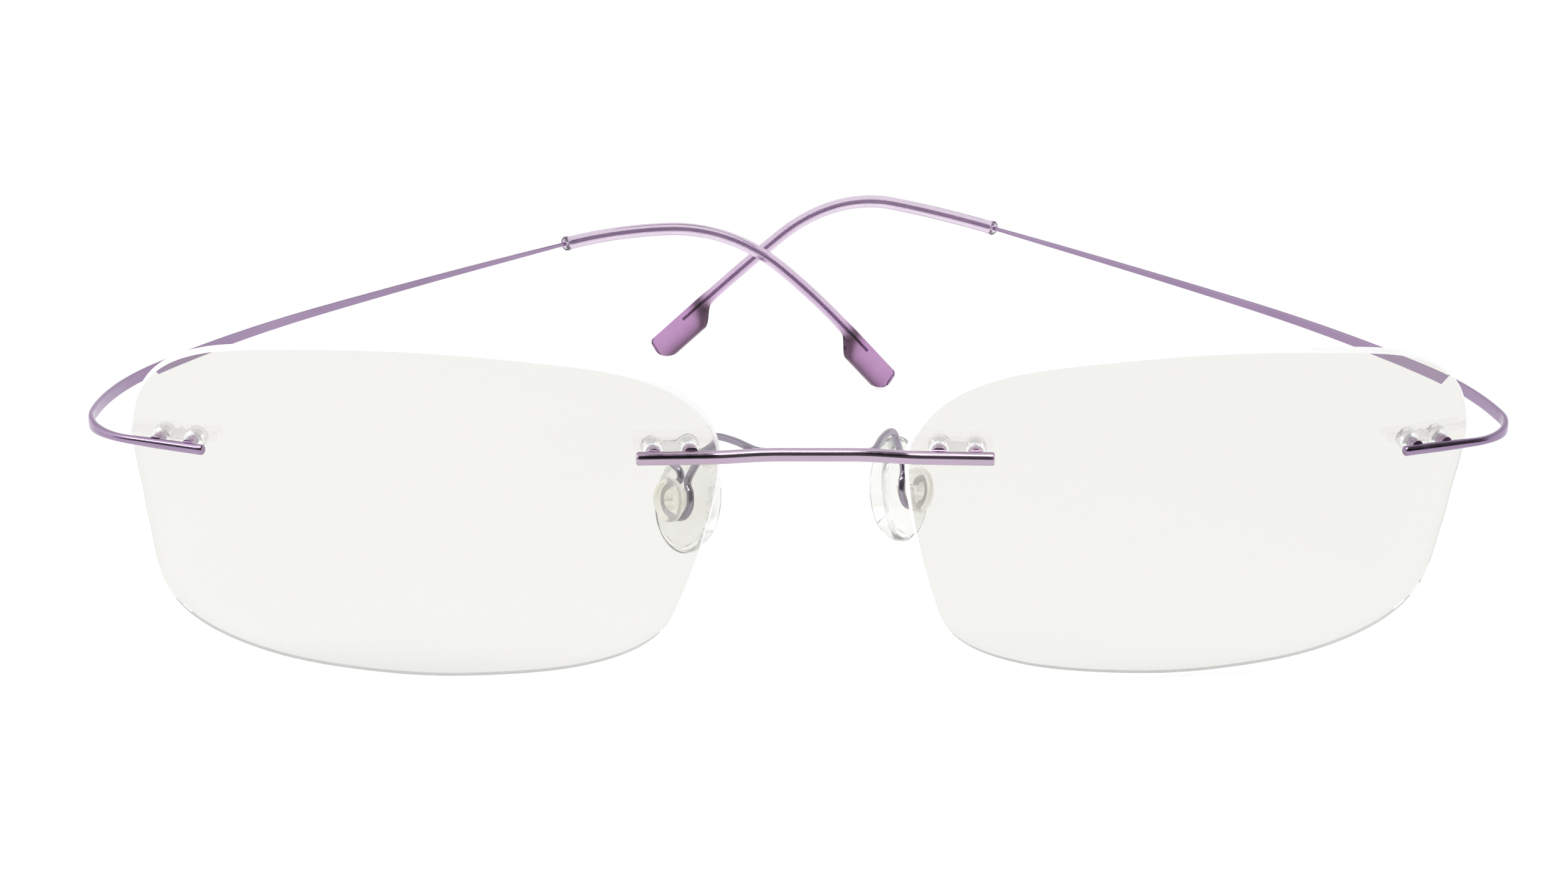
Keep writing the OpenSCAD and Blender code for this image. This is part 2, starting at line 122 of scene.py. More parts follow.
# Darker parts of the studio, in front, on the wearer's left and behind: how the sphere of
# directions is stretched, the middle, the reach as a cosine, its softness, and the light left
DARK_PARTS = [
    ((0.12, 1, 1), (0, -0.88, 0.47), 0.86, 0.09, 0.08),
    ((3, 1, 1), (0.74, -0.3, 0.6), 0.85, 0.05, 0.1),
    ((0.3, 1, 1), (0, 0.75, 0.66), 0.9, 0.08, 0.7),
]


# ---- Places, as 4 x 4 matrices ----

def shift(x, y, z):
    return Matrix.Translation((x, y, z))


def turn(angle, axis):
    return Matrix.Rotation(math.radians(angle), 4, axis)


def mirrored(side):
    return Matrix.Diagonal((SIDES[side], 1, 1, 1))


FRONT = shift(0, FRONT_Y, LENS_Z) @ turn(LENS_TILT, "X")


def lens_place(side):
    return FRONT @ mirrored(side) @ shift(LENS_X, 0, 0) @ turn(LENS_WRAP, "Z")


def on_surface(place):
    tip = -math.degrees(math.asin(place[1] / LENS_R))
    yaw = math.degrees(math.asin(place[0] / LENS_R))
    return shift(0, LENS_R, 0) @ turn(yaw, "Z") @ turn(tip, "X") @ shift(0, -LENS_R, 0)


def bridge_places():
    return [((x - LENS_X) / math.cos(math.radians(LENS_WRAP)), BAR_STUD_V) for x in BAR_STUD_X]


def pad_place(side):
    i = INDEX[side]
    return (FRONT @ mirrored(side) @ shift(BUTTON_X[i], BUTTON_Y, BUTTON_V[i])
            @ turn(PAD_SPLAY, "Z") @ turn(-PAD_LEAN, "X"))


def temple_place(side):
    i = INDEX[side]
    start = FRONT @ Vector(ROD_START)
    return mirrored(side) @ shift(*start) @ turn(RISE[i], "X") @ turn(HEADING[i], "Z")


def piece_frame(piece, share):
    """The frame at a share of one piece of bent wire: length, turn towards +Y, drop."""
    length, yaw, drop = piece
    angle = math.hypot(yaw, drop)
    if angle == 0:
        return shift(length * share, 0, 0)
    roll = math.degrees(math.atan2(-drop, yaw))
    radius = length / math.radians(angle)
    a = math.radians(angle * share)
    return (turn(roll, "X") @ shift(radius * math.sin(a), radius * (1 - math.cos(a)), 0)
            @ turn(angle * share, "Z") @ turn(-roll, "X"))


def wire_frame(pieces, s):
    """The frame at the distance s along a list of pieces."""
    m = Matrix.Identity(4)
    for piece in pieces:
        if s <= piece[0]:
            return m @ piece_frame(piece, s / piece[0])
        m = m @ piece_frame(piece, 1)
        s -= piece[0]
    return m @ shift(s, 0, 0)


def wire_pieces(side):
    return [(n, t, 0) for n, t in zip(WIRE_LEN[INDEX[side]], WIRE_TURNS[INDEX[side]])]


def tip_pieces(side):
    i = INDEX[side]
    return list(zip(TIP_LEN, TIP_TURNS[i], TIP_DROPS[i]))


# ---- Curves and sections ----

def smooth_curve(points, steps, closed=False):
    """A Catmull-Rom curve through the points."""
    p = np.array(points, float)
    n = len(p)

    def at(i):
        return p[i % n] if closed else p[min(max(i, 0), n - 1)]

    out = []
    for i in range(n if closed else n - 1):
        a, b, c, d = at(i - 1), at(i), at(i + 1), at(i + 2)
        for t in np.arange(steps) / steps:
            out.append(0.5 * (2 * b + (c - a) * t + (2 * a - 5 * b + 4 * c - d) * t ** 2
                              + (3 * b - a - 3 * c + d) * t ** 3))
    if not closed:
        out.append(p[-1])
    return np.array(out)


def ease(x, low, high):
    t = min(max((x - low) / (high - low), 0), 1)
    return t * t * (3 - 2 * t)


def blend_to(a, b, t):
    return a + (b - a) * t


def oval(half_across, half_up, power=2, n=40, up=0.0):
    """A closed section in the y-z plane; a higher power gives squarer corners."""
    out = []
    for k in range(n):
        a = 2 * math.pi * k / n
        c, s = math.cos(a), math.sin(a)
        out.append((0, half_across * math.copysign(abs(c) ** (2 / power), c),
                    up + half_up * math.copysign(abs(s) ** (2 / power), s)))
    return out


# ---- Meshes ----

def mesh_piece(name, verts, faces, place, sharp=SHARP):
    """An object from points in millimetres, with its faces turned outwards."""
    mesh = bpy.data.meshes.new(name)
    mesh.from_pydata([(place @ Vector(v)) * 0.001 for v in verts], [], faces)
    b = bmesh.new()
    b.from_mesh(mesh)
    bmesh.ops.remove_doubles(b, verts=b.verts, dist=1e-7)
    bmesh.ops.recalc_face_normals(b, faces=b.faces)
    b.to_mesh(mesh)
    b.free()
    mesh.shade_smooth()
    mesh.set_sharp_from_angle(angle=math.radians(sharp))
    piece = bpy.data.objects.new(name, mesh)
    bpy.context.scene.collection.objects.link(piece)
    return piece


def loft(rings):
    """Points and faces of a skin over rings with the same number of points, with flat ends."""
    n = len(rings[0])
    verts = [tuple(p) for ring in rings for p in ring]
    faces = []
    for i in range(len(rings) - 1):
        for k in range(n):
            m = (k + 1) % n
            faces.append((i * n + k, i * n + m, (i + 1) * n + m, (i + 1) * n + k))
    faces.append(tuple(range(n)))
    faces.append(tuple(range(len(verts) - n, len(verts))))
    return verts, faces


def loft_wire(pieces, stations, section):
    """A loft of section(s) at each distance s along the wire."""
    rings = []
    for s in stations:
        m = wire_frame(pieces, s)
        rings.append([m @ Vector(p) for p in section(s)])
    return loft(rings)


def lathe(profile, n=48):
    """A solid of revolution about y, from points (radius, y) that start and end on the axis."""
    angles = [2 * math.pi * k / n for k in range(n)]
    rings = []
    for r, y in profile:
        r = max(r, 1e-3)
        rings.append([(r * math.cos(a), y, r * math.sin(a)) for a in angles])
    return loft(rings)


def plain_rod(r, start, stop):
    return lathe([(0, start), (r, start), (r, stop), (0, stop)])


def copies(shape, spots):
    """One list of points and faces: the shape at each spot of the lens surface."""
    verts, faces = [], []
    for spot in spots:
        start = len(verts)
        m = on_surface(spot)
        verts += [tuple(m @ Vector(p)) for p in shape[0]]
        faces += [tuple(start + k for k in face) for face in shape[1]]
    return verts, faces


def cut(piece, tool, operation="DIFFERENCE"):
    """Applies a boolean with the tool, then removes the tool."""
    mod = piece.modifiers.new("cut", "BOOLEAN")
    mod.operation = operation
    mod.object = tool
    mod.solver = "EXACT"
    bpy.context.view_layer.update()
    evaluated = piece.evaluated_get(bpy.context.evaluated_depsgraph_get())
    result = bpy.data.meshes.new_from_object(evaluated)
    piece.modifiers.clear()
    old = piece.data
    piece.data = result
    bpy.data.meshes.remove(old)
    bpy.data.objects.remove(tool)
    piece.data.set_sharp_from_angle(angle=math.radians(SHARP))


# ---- Materials ----

def material(name):
    """A new material, its nodes, its links and its surface shader."""
    m = bpy.data.materials.new(name)
    m.use_nodes = True
    return m, m.node_tree.nodes, m.node_tree.links, m.node_tree.nodes["Principled BSDF"]


def see_through(name, passing, ior, glow=0, glow_colour=(1, 1, 1, 1)):
    """A material() that light passes through; a little glow stands in for scattered light."""
    m, nodes, links, s = material(name)
    s.inputs["Transmission Weight"].default_value = passing
    s.inputs["IOR"].default_value = ior
    if glow:
        s.inputs["Emission Color"].default_value = glow_colour
        s.inputs["Emission Strength"].default_value = glow
    return m, nodes, links, s


def noise(nodes, links, scale, detail=3.0, stretch=(1, 1, 1)):
    """A noise texture in object space, with its scale per metre."""
    place = nodes.new("ShaderNodeTexCoord")
    mapping = nodes.new("ShaderNodeMapping")
    mapping.inputs["Scale"].default_value = stretch
    texture = nodes.new("ShaderNodeTexNoise")
    texture.inputs["Scale"].default_value = scale
    texture.inputs["Detail"].default_value = detail
    links.new(place.outputs["Object"], mapping.inputs["Vector"])
    links.new(mapping.outputs["Vector"], texture.inputs["Vector"])
    return texture.outputs["Fac"]


def ramp(nodes, links, value, stops):
    """A colour ramp over a value; stops are (position, colour)."""
    r = nodes.new("ShaderNodeValToRGB")
    for k, (position, colour) in enumerate(stops):
        e = r.color_ramp.elements[k] if k < 2 else r.color_ramp.elements.new(position)
        e.position = position
        e.color = (*colour, 1)
    links.new(value, r.inputs["Fac"])
    return r.outputs["Color"]


def spread(nodes, links, value, low, high):
    """Maps a noise value to the range low to high."""
    r = nodes.new("ShaderNodeMapRange")
    r.inputs["From Min"].default_value = 0.3
    r.inputs["From Max"].default_value = 0.7
    r.inputs["To Min"].default_value = low
    r.inputs["To Max"].default_value = high
    links.new(value, r.inputs["Value"])
    return r.outputs["Result"]


def painted(nodes, name):
    """The value of a vertex attribute."""
    value = nodes.new("ShaderNodeAttribute")
    value.attribute_name = name
    return value.outputs["Fac"]


def colour_mix(nodes, links, factor, first):
    """A mix node with its first colour; the caller gives the second."""
    mix = nodes.new("ShaderNodeMix")
    mix.data_type = "RGBA"
    links.new(factor, mix.inputs["Factor"])
    links.new(first, mix.inputs["A"])
    return mix


def bump(nodes, links, value, distance, shader):
    b = nodes.new("ShaderNodeBump")
    b.inputs["Strength"].default_value = 1
    b.inputs["Distance"].default_value = distance
    links.new(value, b.inputs["Height"])
    links.new(b.outputs["Normal"], shader.inputs["Normal"])


def plated_metal(name, low, high, roughness, grain):
    m, nodes, links, s = material(name)
    s.inputs["Metallic"].default_value = 1
    tint = noise(nodes, links, 60)
    links.new(ramp(nodes, links, tint, [(0.3, low), (0.7, high)]), s.inputs["Base Color"])
    marks = noise(nodes, links, 900, 5)
    links.new(spread(nodes, links, marks, *roughness), s.inputs["Roughness"])
    bump(nodes, links, noise(nodes, links, 2500, 2), grain, s)
    return m


def clear_lens():
    m, nodes, links, s = see_through("clear_lens", 1, 1.5)
    s.inputs["Base Color"].default_value = (0.812, 0.806, 0.782, 1)
    smears = noise(nodes, links, 120, 6, (0.35, 1, 1.6))
    links.new(spread(nodes, links, smears, 0.0, 0.02), s.inputs["Roughness"])
    return m


def ground_edge():
    m, nodes, links, s = see_through("ground_lens_edge", 0.2, 1.5, glow=0.2)
    s.inputs["Base Color"].default_value = (1, 1, 1, 1)
    grind = noise(nodes, links, 1600, 4)
    links.new(spread(nodes, links, grind, 0.35, 0.55), s.inputs["Roughness"])
    bump(nodes, links, grind, 1e-5, s)
    return m


def clear_plastic():
    m, nodes, links, s = see_through("clear_sleeve", 0.8, 1.14, glow=0.06)
    s.inputs["Base Color"].default_value = (1, 1, 1, 1)
    flow = noise(nodes, links, 700, 3)
    links.new(spread(nodes, links, flow, 0.06, 0.2), s.inputs["Roughness"])
    bump(nodes, links, flow, 6e-6, s)
    return m


def yellowed_plastic():
    m, nodes, links, s = see_through("yellowed_button", 0.82, 1.3, 0.06, (1, 1, 0.97, 1))
    age = noise(nodes, links, 500, 4)
    colour = ramp(nodes, links, age, [(0.4, (0.98, 0.98, 0.95)), (0.7, (0.93, 0.92, 0.80))])
    links.new(colour, s.inputs["Base Color"])
    links.new(spread(nodes, links, age, 0.08, 0.2), s.inputs["Roughness"])
    return m


def soft_pad():
    m, nodes, links, s = see_through("soft_clear_pad", 0.93, 1.3)
    haze = noise(nodes, links, 350, 5)
    colour = ramp(nodes, links, haze, [(0.3, (0.97, 0.975, 0.96)), (0.75, (0.93, 0.93, 0.88))])
    links.new(colour, s.inputs["Base Color"])
    links.new(spread(nodes, links, haze, 0.04, 0.16), s.inputs["Roughness"])
    bump(nodes, links, noise(nodes, links, 1800, 3), 6e-6, s)
    return m


def violet_tip():
    m, nodes, links, s = see_through("translucent_violet_tip", 0.9, 1.25)
    pale = noise(nodes, links, 400, 4)
    thin = ramp(nodes, links, pale, [(0.3, (0.68, 0.57, 0.70)), (0.7, (0.74, 0.64, 0.76))])
    deep = ramp(nodes, links, pale, [(0.3, (0.50, 0.27, 0.51)), (0.7, (0.56, 0.33, 0.57))])
    mix = colour_mix(nodes, links, painted(nodes, "depth"), thin)
    links.new(deep, mix.inputs["B"])
    # Painted shade: the rim attribute darkens the paddle's lower edge and shoulder towards a
    # near-black colour
    edged = colour_mix(nodes, links, painted(nodes, "rim"), mix.outputs["Result"])
    edged.inputs["B"].default_value = PADDLE_EDGE_SHADE
    links.new(edged.outputs["Result"], s.inputs["Base Color"])
    links.new(spread(nodes, links, noise(nodes, links, 1200, 4), 0.06, 0.13), s.inputs["Roughness"])
    bump(nodes, links, noise(nodes, links, 600, 2), 2e-6, s)
    return m


METAL = plated_metal(
    "lilac_plated_bar", (0.48, 0.37, 0.48), (0.54, 0.43, 0.54), (0.09, 0.19), 2e-6)
WIRE = plated_metal(
    "violet_plated_wire", (0.31, 0.22, 0.35), (0.38, 0.28, 0.42), (0.14, 0.26), 4e-6)
HOOK_WIRE = plated_metal(
    "grey_plated_hook", (0.27, 0.24, 0.30), (0.33, 0.30, 0.36), (0.12, 0.24), 3e-6)
LENS, EDGE, CLEAR = clear_lens(), ground_edge(), clear_plastic()
BUTTON, PAD, VIOLET = yellowed_plastic(), soft_pad(), violet_tip()


def finish_piece(piece, materials, slot, body, *nodes):
    for m in materials:
        piece.data.materials.append(m)
    if body:
        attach(piece, body)
    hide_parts(*nodes)


# ---- Lenses ----

def make_lens(side):
    edge = smooth_curve(LENS_EDGE, 12, closed=True)
    holes = bridge_places() + TEMPLE_STUDS
    back_r = LENS_R - LENS_T

    def ring(share, radius, dy=0.0):
        return [(u, LENS_R - math.sqrt(radius ** 2 - u * u - v * v) + dy, v)
                for u, v in edge * share]

    shares = [*LENS_RINGS, 1 - LENS_BEVEL / LENS_REACH]
    rings = [ring(f, LENS_R) for f in shares]
    rings += [ring(1, LENS_R, LENS_BEVEL), ring(1, back_r, -LENS_BEVEL)]
    rings += [ring(f, back_r) for f in reversed(shares)]
    place = lens_place(side)
    lens = mesh_piece(f"{side}_clear_lens", *loft(rings), place, 25)
    drill = plain_rod(HOLE_D / 2, -2, 4)
    cut(lens, mesh_piece("drill", *copies(drill, holes), place))
    finish_piece(lens, [LENS, EDGE], "lens", "front", f"{side}_lens")
    inward = place.inverted()
    for face in lens.data.polygons:
        spot = inward @ (face.center * 1000)
        near_hole = min(math.dist((spot.x, spot.z), p) for p in holes) < HOLE_RIM
        across = abs((inward.to_3x3() @ face.normal).normalized().y) < EDGE_SLANT
        if across and not near_hole:
            face.material_index = 1


# ---- Studs and sleeves ----

def make_studs(side, places, shoulder, reach, name, node):
    """Pins through the lens, each with a wider shoulder in front and a rounded end behind."""
    top, pin, end = shoulder / 2, STUD_D / 2, PLATE_BACK + POST_BACK
    profile = [
        (0, -reach), (top + 0.04, -reach), (top, -reach + 0.4), (top, -0.28),
        (top - 0.05, -0.2), (pin, -0.2), (pin, end - 0.12), (pin - 0.05, end - 0.03),
        (pin - 0.15, end), (0, end),
    ]
    studs = mesh_piece(name, *copies(lathe(profile), places), lens_place(side))
    finish_piece(studs, [METAL], "plated_wire", "front", node)


def dog_bone(half_pitch, inset, gate):
    """The outline of a link plate round two holes, with the stub of a moulding gate on top."""
    rim = SLEEVE_RIM_D / 2

    def height(x, stub):
        parts = [PLATE_WAIST if abs(x) < half_pitch else 0]
        parts += [math.sqrt(max(rim ** 2 - (x - c) ** 2, 0)) for c in (-half_pitch, half_pitch)]
        if stub:
            parts.append(gate * math.exp(-(x / GATE_W) ** 4))
        return sum(h ** PLATE_BLEND for h in parts) ** (1 / PLATE_BLEND)

    xs = [-(half_pitch + rim) * math.cos(math.pi * k / 60) for k in range(61)]
    loop = [(x, height(x, True)) for x in xs]
    loop += [(x, -height(x, False)) for x in reversed(xs[1:-1])]
    p = np.array(loop)
    d = np.roll(p, -1, 0) - np.roll(p, 1, 0)
    normal = np.stack([-d[:, 1], d[:, 0]], 1) / np.linalg.norm(d, axis=1)[:, None]
    return p - normal * inset


def make_sleeve(side, places, gate, name, node):
    """Two tubes through the lens on one link plate behind it."""
    (x0, z0), (x1, z1) = places
    middle = ((x0 + x1) / 2, (z0 + z1) / 2)
    half_pitch = math.dist(*places) / 2
    lean = math.degrees(math.atan2(z1 - z0, x1 - x0))
    rings = [[(x, PLATE_FRONT + y, z) for x, z in dog_bone(half_pitch, inset, gate)]
             for inset, y in PLATE_LAYERS]
    place = lens_place(side)
    sleeve = mesh_piece(name, *loft(rings), place @ on_surface(middle) @ turn(-lean, "Y"))
    r = HOLE_D / 2 - FIT_GAP
    tube = lathe([(0, -0.15), (r - 0.08, -0.15), (r, -0.07), (r, 1.5), (0, 1.5)])
    cut(sleeve, mesh_piece("tube", *copies(tube, places), place), "UNION")
    bore = plain_rod(SLEEVE_BORE_D / 2, -1, 4)
    cut(sleeve, mesh_piece("bore", *copies(bore, places), place))
    finish_piece(sleeve, [CLEAR], "clear_sleeve", "front", node)


# ---- Bridge bar ----

def make_bar():
    total = sum(p[0] for p in BAR_PIECES)
    place = shift(0, BAR_Y, BAR_V)
    stations = list(np.linspace(0, total - 0.12, 60)) + [total - 0.04, total]
    half = []
    for s in stations:
        r = BAR_D / 2 - 0.1 * ease(s, total - 0.12, total)
        m = place @ wire_frame(BAR_PIECES, s)
        half.append([m @ Vector(p) for p in oval(r, r, n=48)])
    other = [[(-p[0], p[1], p[2]) for p in ring] for ring in reversed(half[1:])]
    bar = mesh_piece("round_bridge_bar", *loft(other + half), FRONT)
    finish_piece(bar, [METAL], "plated_wire", "front", "bridge_bar")


# ---- Pad arms, buttons and pads ----

def make_pad_arm(side):
    x, v = ARM_TOP_X[INDEX[side]], ARM_TOP_V[INDEX[side]]
    back = BAR_Y + BAR_D / 2 + 0.25
    path = [
        (4.3, back, BAR_V - 0.2), (5.4, back + 0.15, BAR_V - 0.1),
        (2.3 + 0.55 * x, 2.7, 4 + 0.55 * v), (x, 5, v), (x + 0.7, 6, v - 1.7),
    ]
    to_front = (FRONT @ mirrored(side)).inverted() @ pad_place(side)
    path += [tuple(to_front @ Vector((p[0], 0, p[1]))) for p in HOOK]
    line = smooth_curve(path, 10)
    last = Vector((0.3, 0.2, 1))
    rings = []
    count = len(line)
    for i in range(count):
        along = Vector(line[min(i + 1, count - 1)] - line[max(i - 1, 0)]).normalized()
        last = (last - along * last.dot(along)).normalized()
        other = along.cross(last)
        gap = min(i, count - 1 - i)
        r = ARM_WIRE_D / 2 * (0.8 if gap == 0 else 1)
        here = Vector(line[i])
        rings.append([here + last * p[1] + other * p[2] for p in oval(r, r, 2.6, 20)])
    arm = mesh_piece(f"{side}_pad_hook", *loft(rings), FRONT @ mirrored(side))
    finish_piece(arm, [HOOK_WIRE], "plated_wire", "front", f"{side}_pad_arm")


def make_pad_button(side):
    r, neck, front = BUTTON_D / 2, NECK_D / 2, -PAD_GAP - DISC_T
    profile = [
        (0, front + 0.18), (r - 0.85, front + 0.18), (r - 0.62, front + 0.11),
        (r - 0.45, front + 0.02), (r - 0.3, front), (r - 0.1, front + 0.06), (r, front + 0.2),
        (r, front + 0.42), (r - 0.08, front + 0.54), (r - 0.25, front + DISC_T),
        (neck + 0.1, front + DISC_T), (neck, front + DISC_T + 0.05),
        (neck, PAD_GAP + 1), (0, PAD_GAP + 1),
    ]
    button = mesh_piece(f"{side}_button", *lathe(profile, 64), pad_place(side), 50)
    finish_piece(button, [BUTTON], "pad_button", f"{side}_pad", f"{side}_pad_button")


def make_nose_pad(side):
    """A soft pad: a rounded rim round a shallow dish at the back, and a crowned face."""
    half_w, half_h = PAD_SIZE[0] / 2, PAD_SIZE[1] / 2
    count = 72

    def ring(share, level, rising, falling):
        out = []
        for k in range(count):
            a = 2 * math.pi * k / count
            c, s = math.cos(a), math.sin(a)
            wide = 1 - 0.10 * s
            x = half_w * wide * share * math.copysign(abs(c) ** 0.95, c)
            z = half_h * share * math.copysign(abs(s) ** 0.95, s)
            fall = z * z / 36 + x * x / 60
            rise = z * z / 60 + x * x / 90
            out.append((x, level + rise * rising - fall * falling, z - PAD_SINK))
        return out

    back, face = PAD_GAP + 0.05, PAD_GAP + PAD_T
    rim = ((0.74, 0.22), (0.78, 0.06), (0.83, 0), (0.9, 0.0), (0.95, 0.1))
    crown = ((0.97, 0.36), (0.9, 0.16), (0.75, 0.04), (0.5, 0), (0.25, 0), (0.02, 0))
    rings = [ring(f, back + 0.3, 1, 0) for f in (0.02, 0.3, 0.5, 0.64, 0.7)]
    rings += [ring(f, back + y, 1, 0) for f, y in rim]
    rings += [ring(1, back + 0.42, 0.8, 0.1), ring(1, face - 0.95, 0, 0.6)]
    rings += [ring(f, face - y, 0, 1) for f, y in crown]
    pad = mesh_piece(f"{side}_soft_pad", *loft(rings), pad_place(side), 60)
    socket = plain_rod(NECK_D / 2 + FIT_GAP, 0, PAD_GAP + 1.05)
    cut(pad, mesh_piece("socket", *socket, pad_place(side)))
    finish_piece(pad, [PAD], "nose_pad", f"{side}_pad", f"{side}_nose_pad")


# ---- Temple wires and ear tips ----

def wire_section(s, mouth):
    """Round rod, pressed flat round the bend, tapering back to the round core."""
    flat = ease(s, *FLAT_SPAN)
    round_d = blend_to(ROD_D, BEND_D, ease(s, *THIN_SPAN))
    up = blend_to(round_d, RIBBON_H, flat)
    across = blend_to(round_d, RIBBON_T, flat)
    power = blend_to(2, FLAT_POWER, flat)
    if s > TAPER_START:
        up = blend_to(RIBBON_H, CORE_D, min((s - TAPER_START) / (mouth - TAPER_START), 1))
    if s > mouth - ROUND_RUN:
        round_again = ease(s, mouth - ROUND_RUN, mouth)
        power = blend_to(FLAT_POWER, 2, round_again)
        across = blend_to(RIBBON_T, CORE_D, round_again)
    if s < END_LEN:
        trim = END_TRIM * (1 - s / END_LEN)
        up, across = up - 2 * trim, across - 2 * trim
    return oval(across / 2, up / 2, power, 32)


def make_temple(side):
    pieces = wire_pieces(side) + tip_pieces(side)
    mouth = sum(WIRE_LEN[INDEX[side]])
    end = mouth + sum(TIP_LEN) + PADDLE_CORE
    stations = [0, 0.06, END_LEN, *np.arange(0.6, 20, 0.25), *np.arange(20, mouth, 1.0)]
    stations += [*np.arange(mouth, end, 0.8), end]
    wire = loft_wire(pieces, stations, lambda s: wire_section(s, mouth))
    place = temple_place(side)
    temple = mesh_piece(f"{side}_spring_wire", *wire, place)
    finish_piece(temple, [WIRE], "plated_wire", None, f"{side}_endpiece", f"{side}_temple")
    start, stop = ((place @ wire_frame(pieces, s)).translation * 0.001 for s in BLEND_SPAN)
    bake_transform(temple)


def tip_section(s, length):
    """Tube with a flared mouth, flattening into the paddle."""
    r = TIP_D / 2
    bead = math.exp(-((s - 0.35) / 0.4) ** 2)
    top = r + 0.08 * bead
    low = -top
    across, power = top, 2
    p = s - length
    if p > PADDLE_FLAT[0]:
        flat = ease(p, *PADDLE_FLAT)
        low = blend_to(-r, r - PADDLE_H, ease(p, *PADDLE_DROP))
        across = blend_to(r, PADDLE_T / 2, flat)
        power = blend_to(2, FLAT_POWER, flat)
    if p > PADDLE_LEN - 2:
        low += 1.3 * ((p - PADDLE_LEN + 2) / 2) ** 2
    if p > PADDLE_LEN - 0.5:
        t = (p - PADDLE_LEN + 0.5) / 0.5
        top -= 0.35 * t * t
        across -= 0.18 * t * t
        low += 0.2 * t * t
    if s < 0.1:
        across, top, low = across - 0.1 + s, top - 0.1 + s, low + 0.1 - s
    return oval(across, (top - low) / 2, power, 40, (top + low) / 2)


def make_ear_tip(side):
    pieces = tip_pieces(side)
    length = sum(TIP_LEN)
    stations = list(np.arange(0, 2, 0.1)) + list(np.arange(2, length - 1.5, 0.7))
    stations += list(np.arange(length - 1.5, length + PADDLE_LEN - 0.5, 0.25))
    stations += [length + PADDLE_LEN - d for d in (0.5, 0.35, 0.22, 0.12, 0.05, 0)]
    place = temple_place(side) @ wire_frame(wire_pieces(side), sum(WIRE_LEN[INDEX[side]]))
    v, f = loft_wire(pieces, stations, lambda s: tip_section(s, length))
    tip = mesh_piece(f"{side}_violet_tip", v, f, place, 40)
    r, sides, before = CORE_D / 2 + CORE_GAP, 24, -0.5
    core_end = length + PADDLE_CORE
    bore_stations = [before, *np.arange(0, core_end, 1.0), core_end + 0.05]
    v, f = loft_wire(pieces, bore_stations, lambda s: oval(r, r, n=sides))
    v = [(before, *p[1:]) if k < sides else p for k, p in enumerate(v)]
    cut(tip, mesh_piece("bore", v, f, place))
    depth = tip.data.attributes.new("depth", "FLOAT", "POINT")
    rim = tip.data.attributes.new("rim", "FLOAT", "POINT")
    edge = (place @ wire_frame(pieces, length)).inverted()
    for k, vert in enumerate(tip.data.vertices):
        spot = edge @ (vert.co * 1000)
        depth.data[k].value = 0.35 * ease(spot.x, -26, -4) + 0.65 * ease(spot.x, -3, 2.5)
        low = TIP_D / 2 - blend_to(TIP_D, PADDLE_H, ease(spot.x, *PADDLE_DROP))
        # Painted shade: rim is how strongly the paddle's lower edge and its shoulder are darkened
        lower_edge = ease(spot.x, 0, 2.5) * math.exp(-max(spot.z - low, 0) / 0.8)
        shoulder = 0.85 * math.exp(-((spot.x - 1.5) / 1.2) ** 2)
        rim.data[k].value = min(lower_edge + shoulder, 1)
    finish_piece(tip, [VIOLET], "ear_tip", f"{side}_temple", f"{side}_ear_tip")


make_bar()
for name in SIDES:
    make_lens(name)
    make_studs(name, bridge_places(), BAR_SHOULDER_D, BAR_POST_REACH,
               f"{name}_bar_posts", f"{name}_bridge_studs")
    make_studs(name, TEMPLE_STUDS, ROD_SHOULDER_D, ROD_POST_REACH,
               f"{name}_rod_posts", f"{name}_temple_studs")
    make_sleeve(name, bridge_places(), INNER_GATE_H, f"{name}_inner_sleeve", f"{name}_nasal_sleeve")
    make_sleeve(name, TEMPLE_STUDS, OUTER_GATE_H, f"{name}_rod_sleeve", f"{name}_outer_sleeve")
    make_pad_arm(name)
    make_pad_button(name)
    make_nose_pad(name)
    make_temple(name)
    make_ear_tip(name)


# ---- Stage, light and camera ----

def make_floor():
    mesh = bpy.data.meshes.new("floor")
    signs = ((-1, -1), (1, -1), (1, 1), (-1, 1))
    corners = [(x * FLOOR_HALF, y * FLOOR_HALF, FLOOR_Z) for x, y in signs]
    mesh.from_pydata(corners, [], [(0, 1, 2, 3)])
    floor = bpy.data.objects.new("floor", mesh)
    bpy.context.scene.collection.objects.link(floor)
    m, nodes, links, s = material("white_floor")
    s.inputs["Base Color"].default_value = (FLOOR_GREY, FLOOR_GREY, FLOOR_GREY, 1)
    s.inputs["Roughness"].default_value = 0.9
    s.inputs["Specular IOR Level"].default_value = 0
    s.inputs["Emission Color"].default_value = (1, 1, 1, 1)
    s.inputs["Emission Strength"].default_value = FLOOR_GLOW
    mesh.materials.append(m)


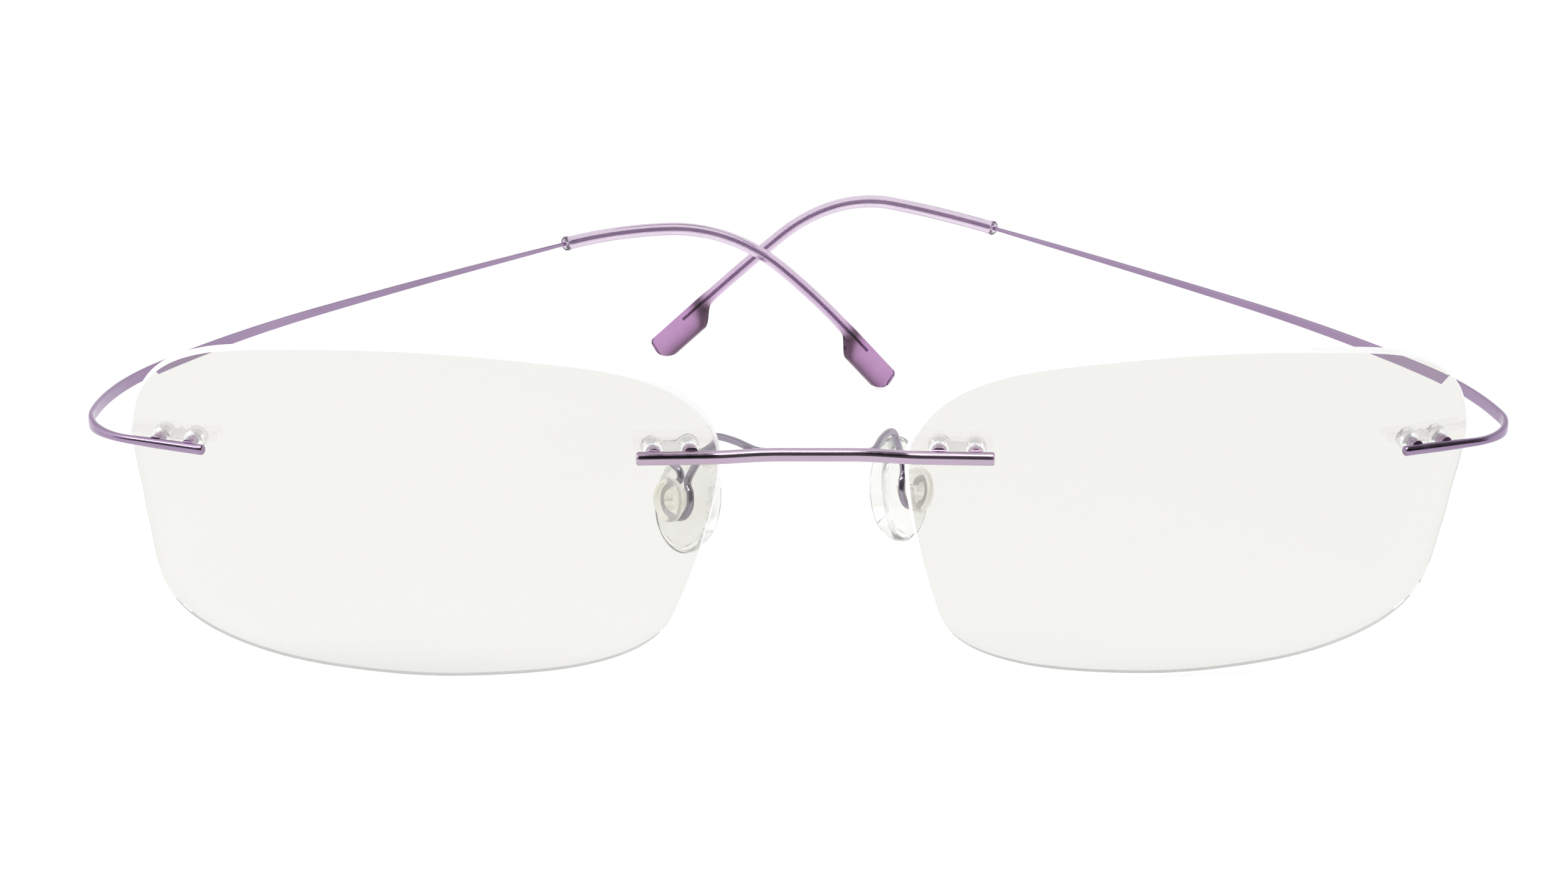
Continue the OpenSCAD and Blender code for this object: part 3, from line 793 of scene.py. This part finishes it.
def make_light():
    """A bright even studio with darker parts that give the wires their bands, and a softbox."""
    world = bpy.data.worlds.new("studio")
    bpy.context.scene.world = world
    world.use_nodes = True
    nodes, links = world.node_tree.nodes, world.node_tree.links
    place = nodes.new("ShaderNodeTexCoord")
    strength = None
    for stretch, middle, reach, soft, dark in DARK_PARTS:
        scale = nodes.new("ShaderNodeMapping")
        scale.inputs["Scale"].default_value = stretch
        unit = nodes.new("ShaderNodeVectorMath")
        unit.operation = "NORMALIZE"
        dot = nodes.new("ShaderNodeVectorMath")
        dot.operation = "DOT_PRODUCT"
        dot.inputs[1].default_value = middle
        fade = nodes.new("ShaderNodeMapRange")
        fade.interpolation_type = "SMOOTHSTEP"
        fade.inputs["From Min"].default_value = reach - soft
        fade.inputs["From Max"].default_value = reach + soft
        fade.inputs["To Min"].default_value = STUDIO_LEVEL
        fade.inputs["To Max"].default_value = dark
        links.new(place.outputs["Generated"], scale.inputs["Vector"])
        links.new(scale.outputs["Vector"], unit.inputs[0])
        links.new(unit.outputs["Vector"], dot.inputs[0])
        links.new(dot.outputs["Value"], fade.inputs["Value"])
        if strength is None:
            strength = fade.outputs["Result"]
        else:
            both = nodes.new("ShaderNodeMath")
            both.operation = "MULTIPLY"
            links.new(strength, both.inputs[0])
            links.new(fade.outputs["Result"], both.inputs[1])
            strength = both.outputs["Value"]
    links.new(strength, nodes["Background"].inputs["Strength"])
    nodes["Background"].inputs["Color"].default_value = (1, 1, 1, 1)
    panel = bpy.data.lights.new("softbox", "AREA")
    panel.shape = "RECTANGLE"
    panel.size, panel.size_y = SOFTBOX_SIZE
    panel.energy = SOFTBOX_ENERGY
    lamp = bpy.data.objects.new("softbox", panel)
    lamp.location = SOFTBOX_PLACE
    lamp.rotation_euler = (math.radians(SOFTBOX_TIP), 0, 0)
    bpy.context.scene.collection.objects.link(lamp)


def make_camera():
    camera = bpy.data.cameras.new("camera")
    camera.lens = CAMERA_LENS
    camera.sensor_width = CAMERA_SENSOR
    camera.clip_start = CAMERA_NEAR
    holder = bpy.data.objects.new("camera", camera)
    right, up = Vector(CAMERA_RIGHT).normalized(), Vector(CAMERA_UP)
    back = right.cross(up).normalized()
    m = Matrix((right, back.cross(right), back)).transposed().to_4x4()
    m.translation = CAMERA_PLACE
    m = FRONT @ m
    m.translation *= 0.001
    holder.matrix_world = m
    bpy.context.scene.collection.objects.link(holder)
    bpy.context.scene.camera = holder


make_floor()
make_light()
make_camera()
bpy.context.scene.view_settings.view_transform = "Standard"
